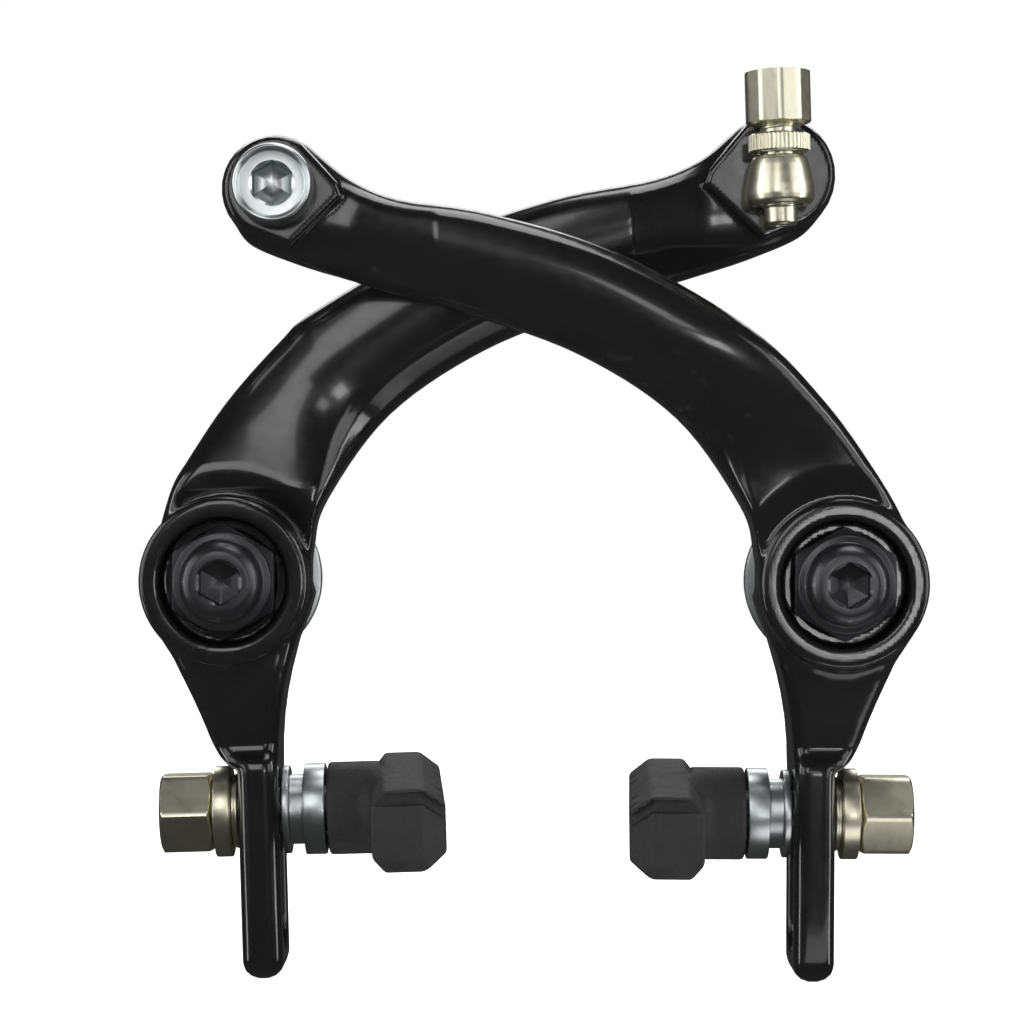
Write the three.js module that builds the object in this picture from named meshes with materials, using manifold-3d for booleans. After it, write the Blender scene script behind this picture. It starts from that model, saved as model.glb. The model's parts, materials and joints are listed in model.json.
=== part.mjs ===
// Centre-pivot rim brake for a bicycle: two crossed arms on two frame bosses.
// Millimetres. X runs from the left pivot to the right one, Z is up, and Y runs
// from the cyclist's side (front, negative) to the frame (back, positive).
// The origin is midway between the pivots, on the plane that the brake seats on.
import * as THREE from "three";
import { mergeVertices } from "three/addons/utils/BufferGeometryUtils.js";
import Module from "manifold-3d";

const wasm = await Module();
wasm.setup();

// ---- driving dimensions ----
const PIVOT_SPACING = 80;
const REST_TURN = THREE.MathUtils.degToRad(1.9); // the rear arm rests this much further closed
const GAP = 0.3; // clearance between pieces that touch on the real brake
const SIDES = 24; // facets round a turned piece

// pivot stack, from the frame forwards
const PLATE = { radius: 11.4, back: 0, front: -2, bore: 4.9 };
const HUB = { radius: 9.4, back: -2.4, shoulder: -14 };
const BOSS = { radius: 10.9, front: -22.5, pocket: 8.2, floor: -19.6 };
const SPRING = { wire: 0.6, radius: 7.2, turns: 3.5, back: -4.2, front: -9.8 };
const SPRING_ROOM = { radius: 8.3, front: -11.2 };
const SLEEVE = { bore: 4.6, radius: 5.4, front: -19.9, back: -2.4 };
const LINER = { bore: 5.7, radius: 6.2, front: -19.2, back: -11.6 };
const ARM_BORE = 6.5;
const TENSION_HEX = { flats: 13, front: -23, back: -19.9 };
const PIVOT_BOLT = { flange: 6.3, head: 5.3, seat: -23.3, rim: -24.3, top: -28, shank: 3, end: -8 };
const HEX_KEY = { flats: 5, depth: 3 };

// arm tips, in the arm's own frame (origin on its pivot, right arm)
const TIP = { x: -73.3, z: 50.3 };
const TIP_BORE = 3.3;
const ARM_RELIEF = 11.3; // the body is cut back to this radius round the boss

// leg and pad hardware, in the same frame
const LEG = { inner: -5.9, outer: -0.6, front: -18, back: -4, bottom: -53 };
const STUD = { y: -11, z: -30.6, radius: 3 };
const SLOT = { half: 3.6, top: -30.3, bottom: -45.1 };
const PAD_NUT = { flats: 10, base: 3.1, end: 9.9, depth: 8.1 };
const STUD_END = 7.7;
const PAD = { face: -27.2, back: -17.9, half: 5.2, drop: 0.5, front: -38, rear: 20, neck: 6.1, neckEnd: -12.1 };
const PAD_TOE = 2.2; // degrees by which the block stands open at its rear end
const STUD_FLANGE = { radius: 4.6, back: PAD.back + 1.6, front: PAD.back + 2.8 };
const BALL_X = -3.5; // both pairs of washers rock about this point on the stud
const INNER_DOME = { base: LEG.inner - GAP, flange: 5.8, thick: 0.9, rim: 4.6, ball: 8, bore: 3.9 };
const INNER_CUP = { base: PAD.neckEnd + GAP, rimFace: -9, mouth: 5.4, ball: 8, bore: 3.3 };
const OUTER_DOME = { base: LEG.outer + GAP, flange: 4.9, thick: 0.4, rim: 4.8, ball: 6.2, bore: 3.9 };
const OUTER_CUP = { base: 2.8, rimFace: 0.6, mouth: 5.1, ball: 6.2, bore: 3.3 };
const CUP_RADIUS = 6;

// cable hardware
const CABLE_Y = -19.3; // the inner cable runs in this plane, between the two arms
const PINCH = { head: 5.05, seat: -26, top: -31.4, end: -11.6 };
const CLAMP = { radius: 5.6, front: -19.6, back: -17.8, groove: 0.9, below: 4.3 };
const PINCH_NUT = { flats: 10, front: -17.5, back: -12.6 };
// heights from the middle of the swivel
const BARREL = { head: 4.3, top: 13.6, neck: 6.8, thread: 2.5, bottom: -6.4, bore: 0.95, mouth: 2.6 };
const RING = { radius: 4.1, bottom: 3, top: 5.5 };
const SWIVEL = { bottom: -3.7, belly: 4.4, crown: 3.5, top: 2.6, neck: 2.2 };
const SWIVEL_SHANK = { front: -14.9, back: -2.4 };
const SWIVEL_WASHER = { radius: 5.6, front: -7.2, back: -6.2 };
const SWIVEL_NUT = { flats: 8, front: -5.9, back: -3 };

// ---- finishes ----
const finish = (color, metalness, roughness) =>
  new THREE.MeshStandardMaterial({ color, metalness, roughness });
const BLACK_COAT = () => finish(0x0b0b0d, 0.3, 0.25);
const BLACK_OXIDE = () => finish(0x17171a, 0.8, 0.38);
const BRIGHT_ZINC = () => finish(0xbfc4c6, 1, 0.28);
const YELLOW_ZINC = () => finish(0xd8d2a4, 1, 0.3);
const SPRING_STEEL = () => finish(0x8d9094, 1, 0.35);
const BRONZE = () => finish(0xa9814a, 1, 0.45);
const PAD_RUBBER = () => finish(0x26272a, 0, 0.85);

// ---- solids ----
function weld(geometry) {
  const bare = geometry.index ? geometry.toNonIndexed() : geometry.clone();
  bare.deleteAttribute("normal");
  bare.deleteAttribute("uv");
  const merged = mergeVertices(bare, 1e-4);
  const at = merged.attributes.position;
  const corner = [new THREE.Vector3(), new THREE.Vector3(), new THREE.Vector3()];
  const kept = [];
  let volume = 0;
  for (let i = 0; i < merged.index.count; i += 3) {
    const face = [0, 1, 2].map((k) => merged.index.getX(i + k));
    if (new Set(face).size < 3) continue;
    face.forEach((v, k) => corner[k].fromBufferAttribute(at, v));
    volume += corner[0].dot(corner[1].clone().cross(corner[2]));
    kept.push(face);
  }
  const faces = volume < 0 ? kept.map(([a, b, c]) => [a, c, b]) : kept;
  return { positions: at.array, indices: new Uint32Array(faces.flat()) };
}

function solid(geometry) {
  const { positions, indices } = weld(geometry);
  const mesh = new wasm.Mesh({ numProp: 3, vertProperties: positions, triVerts: indices });
  return new wasm.Manifold(mesh);
}

function geometryOf(manifold) {
  const { vertProperties, triVerts } = manifold.getMesh();
  const geometry = new THREE.BufferGeometry();
  geometry.setAttribute("position", new THREE.BufferAttribute(vertProperties, 3));
  geometry.setIndex(new THREE.BufferAttribute(triVerts, 1));
  return geometry;
}

const join = (first, ...rest) => rest.reduce((sum, piece) => sum.add(piece), first);
const cut = (first, ...rest) => rest.reduce((left, piece) => left.subtract(piece), first);

function polygon(points) {
  return new THREE.Shape(points.map(([x, y]) => new THREE.Vector2(x, y)));
}

// an outline drawn in X and Z, extruded from front to back
function slabY(shape, front, back, curveSegments = 2) {
  const options = { depth: back - front, bevelEnabled: false, curveSegments };
  return solid(new THREE.ExtrudeGeometry(shape, options).rotateX(Math.PI / 2).translate(0, back, 0));
}

// an outline drawn in X and Y, extruded upwards
function slabZ(shape, bottom, top) {
  const options = { depth: top - bottom, bevelEnabled: false };
  return solid(new THREE.ExtrudeGeometry(shape, options).translate(0, 0, bottom));
}

// an outline drawn in Y and Z, extruded along X
function slabX(shape, left, right, curveSegments = 6) {
  const options = { depth: right - left, bevelEnabled: false, curveSegments };
  const flat = new THREE.ExtrudeGeometry(shape, options);
  return solid(flat.rotateY(Math.PI / 2).rotateX(Math.PI / 2).translate(left, 0, 0));
}

// a profile of [radius, height] pairs turned about an axis
function turned(axis, points, at = [0, 0, 0], sides = SIDES) {
  const profile = points.map(([r, h]) => new THREE.Vector2(r, h));
  const body = new THREE.LatheGeometry(profile, sides);
  if (axis === "x") body.rotateZ(-Math.PI / 2);
  if (axis === "z") body.rotateX(Math.PI / 2);
  return solid(body.translate(...at));
}

const rod = (axis, radius, from, to, at, sides) =>
  turned(axis, [[0, from], [radius, from], [radius, to], [0, to]], at, sides);

const ring = (axis, bore, radius, from, to, at, sides) =>
  turned(axis, [[bore, from], [radius, from], [radius, to], [bore, to], [bore, from]], at, sides);

function hexagon(axis, flats, from, to, at = [0, 0, 0]) {
  return rod(axis, flats / Math.sqrt(3), from, to, at, 6);
}

// ---- arms ----
// the lower edge, from below the tip to the boss, is the same on both arms
const LOWER_EDGE = [
  [-76.5, 43.2], [-70.6, 40.8], [-64.4, 38.9], [-49.7, 34.9], [-34.5, 29.6],
  [-21.5, 21.3], [-13, 10.1], [-11.2, 4], [-BOSS.radius, 0],
];

function armOutline({ upper, lobe }) {
  const shape = new THREE.Shape();
  const vectors = (points) => points.map(([x, z]) => new THREE.Vector2(x, z));
  shape.moveTo(BOSS.radius, 0);
  shape.splineThru(vectors(upper));
  shape.absarc(TIP.x, TIP.z + lobe.rise, lobe.radius, Math.PI / 4, 1.22 * Math.PI, false);
  shape.splineThru(vectors(LOWER_EDGE));
  shape.absarc(0, 0, BOSS.radius, Math.PI, 2 * Math.PI, false);
  return shape;
}

function legOutline() {
  const shape = new THREE.Shape();
  shape.moveTo(-10.6, -2);
  shape.bezierCurveTo(-8, -11, LEG.inner, -16, LEG.inner, -25);
  shape.lineTo(LEG.inner, LEG.bottom + 3);
  shape.bezierCurveTo(LEG.inner, LEG.bottom, LEG.outer, LEG.bottom, LEG.outer, LEG.bottom + 3);
  shape.lineTo(LEG.outer, -24.3);
  shape.quadraticCurveTo(1.6, -23.4, 2.4, -20.5);
  shape.quadraticCurveTo(5, -12, 10.4, -3);
  return shape;
}

// Each arm has its own upper edge and its own round lobe at the tip. The depth of the
// body lets the front arm swing clear of the rear one: rise is its side view in Y and Z,
// and reach is its top view in X and Y.
const FRONT_ARM = {
  upper: [
    [8, 7.6], [4.4, 13.8], [-2.7, 23.4], [-12.9, 33], [-29.7, 42.4],
    [-45.7, 47.2], [-57.5, 49.1], [-63.6, 51.6],
  ],
  lobe: { rise: 0, radius: 7 },
  rise: [
    [-23, -12], [-24, 10], [-27.4, 27], [-27.4, 70],
    [-17.6, 70], [-17.6, 26], [-12, 13], [-12, -12],
  ],
  reach: [
    [15, -28], [-50, -28], [-64, -25], [-90, -24.6],
    [-90, -19.9], [-66, -19.9], [-58, -17.6], [-58, 0], [15, 0],
  ],
  padFront: -25.7,
};
const REAR_ARM = {
  upper: [
    [7.3, 11.2], [4.7, 16], [-0.5, 23.7], [-7.6, 31.3], [-12.2, 35.1],
    [-28.5, 43.9], [-44, 48.9], [-56.5, 51], [-63.2, 53.5],
  ],
  lobe: { rise: 0.9, radius: 8 },
  rise: [
    [-20.5, -12], [-20.5, 11], [-15.9, 24], [-15.9, 70],
    [-6, 70], [-6, 25], [-9, 10], [-12, -12],
  ],
  reach: [
    [15, -28], [-54, -28], [-54, -15.9], [-64, -13.6], [-90, -13.4],
    [-90, -7.5], [-64, -7.5], [-56, -6], [-56, 0], [15, 0],
  ],
  padFront: -14.6,
};
const LEG_DEPTH = [
  [-19, 0], [-19.4, -12], [LEG.front, -25], [LEG.front, -50], [-15, -56],
  [-7, -56], [LEG.back, -50], [LEG.back, -22], [-6.5, -12], [-7, 0],
];

// the flat seat round the tip's hole
function tipPad({ rise, radius }, front) {
  const shape = new THREE.Shape();
  const z = TIP.z + rise;
  shape.absarc(TIP.x, z, radius - 0.5, Math.PI / 3, 1.32 * Math.PI, false);
  shape.lineTo(TIP.x + 2, z - radius - 0.6);
  shape.lineTo(TIP.x + radius + 1.6, z - 1);
  shape.lineTo(TIP.x + radius + 0.8, z + 0.8);
  return slabY(shape, front, front + 3, 12);
}

function brakeArm({ upper, lobe, rise, reach, padFront }) {
  const sideView = slabX(polygon(rise), -90, 20);
  const topView = slabZ(polygon(reach), -15, 70);
  const body = slabY(armOutline({ upper, lobe }), -32, 0).intersect(sideView).intersect(topView);
  const relief = rod("y", ARM_RELIEF, -32, BOSS.front);
  const leg = slabY(legOutline(), -32, 0, 5).intersect(slabX(polygon(LEG_DEPTH), -20, 20));
  const boss = rod("y", BOSS.radius, BOSS.front, HUB.shoulder);
  const hub = rod("y", HUB.radius, HUB.shoulder - 1, HUB.back);
  const pad = tipPad(lobe, padFront);
  const blank = join(cut(body, relief), leg, boss, hub, pad);
  return cut(
    blank,
    rod("y", BOSS.pocket, -40, BOSS.floor),
    rod("y", ARM_BORE, -40, 10),
    rod("y", SPRING_ROOM.radius, SPRING_ROOM.front, 10),
    rod("y", 1.4, -13.6, -10, [0, 0, SPRING.radius], 8),
    rod("y", TIP_BORE, -40, 10, [TIP.x, 0, TIP.z]),
    padSlot(),
  );
}

function padSlot() {
  const shape = new THREE.Shape();
  shape.absarc(STUD.y, SLOT.top, SLOT.half, 0, Math.PI, false);
  shape.absarc(STUD.y, SLOT.bottom, SLOT.half, Math.PI, 2 * Math.PI, false);
  return slabX(shape, -20, 20, 8);
}

// ---- pivot stack ----
function tensionBushing() {
  const sleeve = rod("y", SLEEVE.radius, SLEEVE.front, SLEEVE.back);
  const hex = hexagon("y", TENSION_HEX.flats, TENSION_HEX.front, TENSION_HEX.back);
  return cut(join(hex, sleeve), rod("y", SLEEVE.bore, -40, 10));
}

function pivotBolt() {
  const { flange, head, seat, rim, top, shank, end } = PIVOT_BOLT;
  const body = turned("y", [
    [0, top], [head - 1.6, top], [head - 0.5, top + 0.6], [head, top + 1.8], [head, rim],
    [flange, rim], [flange, seat], [shank, seat], [shank, end - 0.6], [shank - 0.6, end], [0, end],
  ]);
  return cut(body, hexagon("y", HEX_KEY.flats, top - 1, top + HEX_KEY.depth));
}

function springPlate() {
  const plate = ring("y", PLATE.bore, PLATE.radius, PLATE.front, PLATE.back);
  return cut(plate, rod("y", SPRING.wire + 0.5, -5, 5, [0, 0, -SPRING.radius], 8));
}

// a torsion spring whose ends turn along the axis, into the plate and into the arm
function returnSpring() {
  const { wire, radius, turns, back, front } = SPRING;
  const stepsPerTurn = 12;
  const steps = turns * stepsPerTurn;
  const start = -Math.PI / 2;
  const onCoil = (t, y) => {
    const angle = start + 2 * Math.PI * turns * t;
    return new THREE.Vector3(radius * Math.cos(angle), y, radius * Math.sin(angle));
  };
  const points = [onCoil(0, -0.6), onCoil(0, -2.6)];
  for (let i = 1; i < steps; i += 1) {
    const t = i / steps;
    points.push(onCoil(t, THREE.MathUtils.lerp(back, front, t)));
  }
  points.push(onCoil(1, -11.4), onCoil(1, -13));
  const path = new THREE.CatmullRomCurve3(points, false, "catmullrom", 0.5);
  const section = new THREE.Shape().absarc(0, 0, wire, 0, 2 * Math.PI, false);
  const options = { steps: steps + 14, extrudePath: path, curveSegments: 3, bevelEnabled: false };
  return solid(new THREE.ExtrudeGeometry(section, options));
}

// ---- pad hardware ----
const STUD_AXIS = [0, STUD.y, STUD.z];

// half of a ball joint: the radius of the ball at a distance from the stud's axis
const ballAt = (radius, r) => Math.sqrt(radius * radius - r * r);

// a washer with a domed face; towards is -1 for the rim side of the leg and 1 for the other
function domedWasher(towards, { base, flange, thick, rim, ball, bore }) {
  const steps = 3;
  const dome = [];
  for (let i = 0; i <= steps; i += 1) {
    const r = THREE.MathUtils.lerp(rim, bore, i / steps);
    dome.push([r, BALL_X + towards * ballAt(ball, r)]);
  }
  const shoulder = base + towards * thick;
  const outline = [[bore, base], [flange, base], [flange, shoulder], [rim, shoulder]];
  return turned("x", [...outline, ...dome, [bore, base]], STUD_AXIS);
}

// a washer with a hollow face that rides on the dome
function cupWasher(towards, { base, rimFace, mouth, ball, bore }) {
  const steps = 3;
  const hollow = [];
  for (let i = 0; i <= steps; i += 1) {
    const r = THREE.MathUtils.lerp(mouth, bore, i / steps);
    hollow.push([r, BALL_X + towards * ballAt(ball + GAP, r)]);
  }
  const outline = [[bore, base], [CUP_RADIUS, base], [CUP_RADIUS, rimFace], [mouth, rimFace]];
  return turned("x", [...outline, ...hollow, [bore, base]], STUD_AXIS);
}

function padStud() {
  const { radius, back, front } = STUD_FLANGE;
  return turned("x", [
    [0, back], [radius, back], [radius, front], [STUD.radius, front],
    [STUD.radius, STUD_END - 0.6], [STUD.radius - 0.6, STUD_END], [0, STUD_END],
  ], STUD_AXIS);
}

function brakePad() {
  const { face, back, half, drop, front, rear, neck, neckEnd } = PAD;
  const outline = polygon([
    [face, half - 2.2], [face, 2.2 - half], [face + 2.8, -half], [back - 1.6, -half],
    [back, 2 - half], [back, half - 2], [back - 1.6, half], [face + 2.8, half],
  ]);
  const middle = (face + back) / 2;
  const block = slabY(outline, front, rear)
    .translate([-middle, -STUD.y, 0])
    .rotate([0, 0, -PAD_TOE])
    .translate([middle, STUD.y, STUD.z - drop]);
  const collar = rod("x", neck, back - 1, neckEnd, STUD_AXIS);
  const room = rod("x", STUD.radius + GAP, back, 0, STUD_AXIS);
  const flange = STUD_FLANGE;
  const flangeRoom = rod("x", flange.radius + GAP, flange.back - GAP, flange.front + GAP, STUD_AXIS);
  return cut(join(block, collar), room, flangeRoom);
}

// a closed nut, six-sided over its whole length, with an edge to the front and a chamfered end
function padNut() {
  const { flats, base, end, depth } = PAD_NUT;
  const hex = hexagon("x", flats, base, end).rotate([30, 0, 0]).translate(STUD_AXIS);
  const chamfer = turned("x", [
    [0, base - 1], [7, base - 1], [7, end - 1.2], [flats / 2 - 0.2, end], [0, end],
  ], STUD_AXIS);
  return cut(hex.intersect(chamfer), rod("x", STUD.radius + GAP, base - 1, depth, STUD_AXIS));
}

// ---- cable hardware ----
const TIP_AXIS = [TIP.x, 0, TIP.z];

function pinchBolt() {
  const { head, seat, top, end } = PINCH;
  const body = turned("y", [
    [0, top + 0.5], [3.4, top + 0.5], [3.9, top], [head - 0.5, top], [head, top + 0.6],
    [head, seat], [3, seat], [3, end - 0.6], [2.4, end], [0, end],
  ], TIP_AXIS);
  return cut(body, hexagon("y", HEX_KEY.flats, top - 1, top + 3.4, TIP_AXIS));
}

// the inner cable lies in the groove, across the bolt's lower side
function clampWasher() {
  const { radius, front, back, groove, below } = CLAMP;
  const washer = ring("y", TIP_BORE, radius, front, back, TIP_AXIS);
  return cut(washer, rod("x", groove, -10, 10, [TIP.x, front - 0.2, TIP.z - below], 10));
}

function tipNut({ flats, front, back }) {
  const body = hexagon("y", flats, front, back, TIP_AXIS);
  return cut(body, rod("y", TIP_BORE, -40, 10, TIP_AXIS));
}

// a bell-shaped head that holds the adjuster, on a shank through the arm's tip
function swivelStud() {
  const { bottom, belly, crown, top, neck } = SWIVEL;
  const centre = [TIP.x, CABLE_Y, TIP.z];
  const head = turned("z", [
    [0, bottom], [belly - 0.6, bottom], [belly, bottom + 1.2], [belly - 0.1, -1],
    [crown + 0.4, top - 1.2], [crown, top], [0, top],
  ], centre);
  const collar = rod("y", neck, CABLE_Y + 1, SWIVEL_SHANK.front + 0.9, TIP_AXIS);
  const shank = rod("y", STUD.radius, SWIVEL_SHANK.front, SWIVEL_SHANK.back, TIP_AXIS);
  return cut(join(head, collar, shank), rod("z", BARREL.thread + GAP, -20, 20, centre));
}

function swivelWasher() {
  const { radius, front, back } = SWIVEL_WASHER;
  return ring("y", TIP_BORE, radius, front, back, TIP_AXIS);
}

function adjusterBarrel() {
  const { head, top, neck, thread, bottom, bore, mouth } = BARREL;
  const centre = [TIP.x, CABLE_Y, TIP.z];
  const body = join(
    rod("z", head, neck, top, centre, 10),
    rod("z", thread, bottom, neck + 1, centre),
  );
  return cut(body, rod("z", bore, -20, 30, centre, 12), rod("z", mouth, neck + 1.2, 30, centre));
}

function lockRing() {
  const centre = [TIP.x, CABLE_Y, TIP.z];
  return ring("z", BARREL.thread + GAP, RING.radius, RING.bottom, RING.top, centre);
}

// ---- assembly ----
const brake = new THREE.Group();

function place(name, manifold, material, side, turn = 0) {
  const geometry = geometryOf(manifold);
  const built = side < 0 ? geometryOf(solid(geometry.scale(-1, 1, 1))) : geometry;
  const mesh = new THREE.Mesh(built, material);
  mesh.name = name;
  mesh.position.x = (side * PIVOT_SPACING) / 2;
  mesh.rotation.y = side < 0 ? -turn : 0;
  brake.add(mesh);
}

const HAND = [
  { word: "right", side: 1, depth: FRONT_ARM },
  { word: "left", side: -1, depth: REAR_ARM },
];

for (const { word, side, depth } of HAND) {
  const add = (name, manifold, material) =>
    place(`${word}_${name}`, manifold, material, side, REST_TURN);
  const fixed = (name, manifold, material) => place(`${word}_${name}`, manifold, material, side);
  fixed("pivot_bolt", pivotBolt(), BLACK_OXIDE());
  fixed("tension_bushing", tensionBushing(), BLACK_OXIDE());
  fixed("spring_plate", springPlate(), BRIGHT_ZINC());
  fixed("return_spring", returnSpring(), SPRING_STEEL());
  add("arm", brakeArm(depth), BLACK_COAT());
  add("pivot_liner", ring("y", LINER.bore, LINER.radius, LINER.front, LINER.back), BRONZE());
  add("brake_pad", brakePad(), PAD_RUBBER());
  add("pad_stud", padStud(), BRIGHT_ZINC());
  add("pad_nut", padNut(), YELLOW_ZINC());
  add("inner_domed_washer", domedWasher(-1, INNER_DOME), BRIGHT_ZINC());
  add("inner_cup_washer", cupWasher(-1, INNER_CUP), BRIGHT_ZINC());
  add("outer_domed_washer", domedWasher(1, OUTER_DOME), YELLOW_ZINC());
  add("outer_cup_washer", cupWasher(1, OUTER_CUP), YELLOW_ZINC());
}

const onFrontTip = (name, manifold, material) => place(name, manifold, material, 1);
onFrontTip("pinch_bolt", pinchBolt(), BRIGHT_ZINC());
onFrontTip("cable_clamp_washer", clampWasher(), BRIGHT_ZINC());
onFrontTip("pinch_nut", tipNut(PINCH_NUT), BRIGHT_ZINC());

const onRearTip = (name, manifold, material) => place(name, manifold, material, -1, REST_TURN);
onRearTip("swivel_stud", swivelStud(), YELLOW_ZINC());
onRearTip("swivel_washer", swivelWasher(), YELLOW_ZINC());
onRearTip("swivel_nut", tipNut(SWIVEL_NUT), YELLOW_ZINC());
onRearTip("adjuster_barrel", adjusterBarrel(), YELLOW_ZINC());
onRearTip("adjuster_lock_ring", lockRing(), YELLOW_ZINC());

export default brake;
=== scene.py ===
# %% [markdown]
# # A rim brake with crossed arms
# This brake hangs on two frame bosses in front of a bicycle's wheel. Two forged arms
# cross over the tyre: pulling their tips together closes the rubber pads on the rim.
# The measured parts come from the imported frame, and this lesson gives them their
# rounded edges, threads, knurling and finishes.

# %% Load the measured frame
import json
import math

import bmesh
import bpy
import numpy as np
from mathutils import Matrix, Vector


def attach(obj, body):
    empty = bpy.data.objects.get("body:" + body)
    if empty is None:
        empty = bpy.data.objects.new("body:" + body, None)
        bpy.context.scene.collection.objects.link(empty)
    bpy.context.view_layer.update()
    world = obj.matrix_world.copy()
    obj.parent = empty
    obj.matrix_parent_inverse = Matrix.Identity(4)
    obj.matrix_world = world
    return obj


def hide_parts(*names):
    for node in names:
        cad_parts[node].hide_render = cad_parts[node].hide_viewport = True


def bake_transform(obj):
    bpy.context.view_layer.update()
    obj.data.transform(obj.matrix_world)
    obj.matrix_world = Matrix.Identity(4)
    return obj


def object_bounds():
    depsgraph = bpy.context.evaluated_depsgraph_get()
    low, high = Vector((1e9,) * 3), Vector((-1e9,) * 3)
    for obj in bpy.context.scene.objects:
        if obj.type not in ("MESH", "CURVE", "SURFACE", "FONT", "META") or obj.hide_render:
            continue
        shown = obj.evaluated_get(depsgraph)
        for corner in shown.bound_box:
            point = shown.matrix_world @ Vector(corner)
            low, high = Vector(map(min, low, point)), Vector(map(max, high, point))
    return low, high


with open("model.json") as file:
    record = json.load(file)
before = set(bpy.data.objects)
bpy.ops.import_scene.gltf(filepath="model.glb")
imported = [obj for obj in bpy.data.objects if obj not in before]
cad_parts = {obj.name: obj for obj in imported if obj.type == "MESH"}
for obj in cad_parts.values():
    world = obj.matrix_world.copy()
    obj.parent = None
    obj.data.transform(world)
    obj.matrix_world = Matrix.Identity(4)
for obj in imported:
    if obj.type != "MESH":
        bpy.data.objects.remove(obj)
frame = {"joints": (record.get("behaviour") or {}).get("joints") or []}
cad_box = [list(corner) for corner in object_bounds()]
JOINTS = {joint["name"]: joint for joint in frame["joints"]}

# %% [markdown]
# Shapes are easier to draw in millimetres in the right arm's own frame: the pivot is
# the origin, X points away from the wheel and Y goes back towards the frame. The left
# arm is a mirror image, turned a little further closed. Both facts are read from the
# joints, so a change in the measured parts carries through to the looks.

# %% Where each side lies
MM = 0.001
PIVOT_X = JOINTS["right_arm_swing"]["pos_m"][0] / MM
lean = JOINTS["left_pad_height"]["axis"]
REST_TURN = math.atan2(-lean[0], lean[2])
print("pivots at", PIVOT_X, "mm, left arm turned", round(math.degrees(REST_TURN), 2), "degrees")


def to_frame(points, side, turned=True):
    """Millimetres beside the right pivot, as metres in the brake's frame on either side."""
    x, y, z = np.asarray(points, float).T
    sign = -1 if side == "left" else 1
    angle = REST_TURN if side == "left" and turned else 0
    x = sign * x
    across = x * math.cos(angle) - z * math.sin(angle) + sign * PIVOT_X
    up = x * math.sin(angle) + z * math.cos(angle)
    return np.column_stack([across, y, up]) * MM


# %% [markdown]
# Every shape ends in the same few steps: a mesh from points and faces, a finish, a body
# to ride on, and the measured nodes that it stands for. One function does them, so that
# no piece forgets one. Closed skins get their normals recalculated, because a mirrored
# shape is inside out.

# %% Turn points and faces into a piece
def mesh_object(name, points, faces):
    mesh = bpy.data.meshes.new(name)
    mesh.from_pydata([tuple(p) for p in points], [], [tuple(f) for f in faces])
    shape = bmesh.new()
    shape.from_mesh(mesh)
    bmesh.ops.remove_doubles(shape, verts=shape.verts, dist=1e-7)
    bmesh.ops.recalc_face_normals(shape, faces=shape.faces)
    shape.to_mesh(mesh)
    shape.free()
    piece = bpy.data.objects.new(name, mesh)
    bpy.context.scene.collection.objects.link(piece)
    return piece


def settle(piece, finish, slot, body, nodes, sharp=38):
    """Gives a piece its finish, its body and the nodes that it stands for."""
    piece.data.materials.clear()
    piece.data.materials.append(finish)
    piece.data.shade_smooth()
    piece.data.set_sharp_from_angle(angle=math.radians(sharp))
    if body:
        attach(piece, body)
    if nodes:
        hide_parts(*nodes)
    print(piece.name, len(piece.data.polygons), "faces")
    return piece


# %% [markdown]
# ## Finishes
# A finish is a small graph of nodes. Two effects are used again and again, so each is a
# node group with named sockets: fine grain, which roughens and dents a surface, and
# edge wear, which lets a second colour through where the surface bends outwards.

# %% Helpers for node graphs
def node(tree, kind, **values):
    made = tree.nodes.new(kind)
    for name, value in values.items():
        setattr(made, name, value)
    return made


def new_group(name, inputs, outputs, kind="ShaderNodeTree"):
    """An empty node group; an input is (name, kind, value) and an output is (name, kind)."""
    tree = bpy.data.node_groups.new(name, kind)
    for label, socket_kind, value in inputs:
        socket = tree.interface.new_socket(label, in_out="INPUT", socket_type=socket_kind)
        if value is not None:
            socket.default_value = value
    for label, socket_kind in outputs:
        tree.interface.new_socket(label, in_out="OUTPUT", socket_type=socket_kind)
    return tree, node(tree, "NodeGroupInput"), node(tree, "NodeGroupOutput")


# %% Grain: broad patches and fine pits
def grain_group():
    tree, given, out = new_group(
        "surface_grain",
        [("Vector", "NodeSocketVector", None), ("Fine Scale", "NodeSocketFloat", 900.0),
         ("Broad Scale", "NodeSocketFloat", 60.0), ("Low", "NodeSocketFloat", 0.2),
         ("High", "NodeSocketFloat", 0.4)],
        [("Height", "NodeSocketFloat"), ("Roughness", "NodeSocketFloat"), ("Patch", "NodeSocketFloat")],
    )
    fine = node(tree, "ShaderNodeTexNoise")
    fine.inputs["Detail"].default_value = 4
    broad = node(tree, "ShaderNodeTexNoise")
    broad.inputs["Detail"].default_value = 3
    blend = node(tree, "ShaderNodeMath", operation="MULTIPLY_ADD")
    blend.inputs[1].default_value = 0.6
    spread = node(tree, "ShaderNodeMapRange")
    spread.inputs["From Min"].default_value = 0.45
    spread.inputs["From Max"].default_value = 0.95
    for noise, scale in ((fine, "Fine Scale"), (broad, "Broad Scale")):
        tree.links.new(given.outputs["Vector"], noise.inputs["Vector"])
        tree.links.new(given.outputs[scale], noise.inputs["Scale"])
    tree.links.new(broad.outputs["Fac"], blend.inputs[0])
    tree.links.new(fine.outputs["Fac"], blend.inputs[2])
    tree.links.new(blend.outputs[0], spread.inputs["Value"])
    tree.links.new(given.outputs["Low"], spread.inputs["To Min"])
    tree.links.new(given.outputs["High"], spread.inputs["To Max"])
    tree.links.new(fine.outputs["Fac"], out.inputs["Height"])
    tree.links.new(spread.outputs["Result"], out.inputs["Roughness"])
    tree.links.new(broad.outputs["Fac"], out.inputs["Patch"])
    return tree


GRAIN = grain_group()
print("node group", GRAIN.name)


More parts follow.
